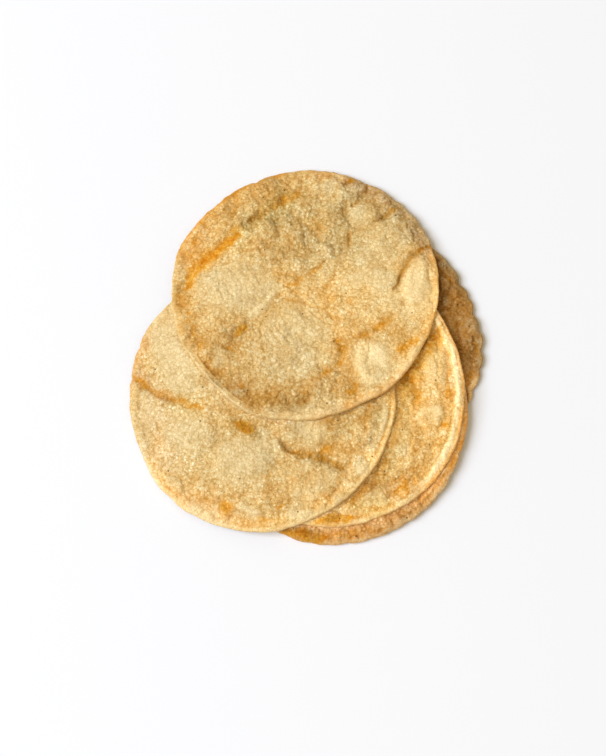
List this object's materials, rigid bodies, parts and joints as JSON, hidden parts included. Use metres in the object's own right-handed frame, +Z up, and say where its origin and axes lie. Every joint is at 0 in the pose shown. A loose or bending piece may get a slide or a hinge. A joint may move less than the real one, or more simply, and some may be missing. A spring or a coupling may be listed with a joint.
{
  "type": "corn tortilla stack",
  "caption": "Loose fanned stack of flat round corn tortillas with puffed blisters, toasted creases and uneven rims, lying flat; served food for a table or kitchen scene.",
  "frame": {"origin": "middle of the stack's footprint, on the surface it lies on", "axes": "+Z up, +Y away from the viewer towards the far rim of the top round, +X to the right"},
  "size_m": [0.2, 0.2174, 0.019],
  "materials": {
    "corn_dough": "baked maize dough, pale gold with toasted orange creases, matte with oily specks",
    "toasted_dough": "baked maize dough, browner, with a pale rim, matte with oily specks"
  },
  "bodies": {
    "root": {"tortilla_1": "toasted_dough", "tortilla_2": "toasted_dough", "tortilla_3": "corn_dough", "tortilla_4": "corn_dough", "tortilla_5": "corn_dough"}
  },
  "joints": []
}
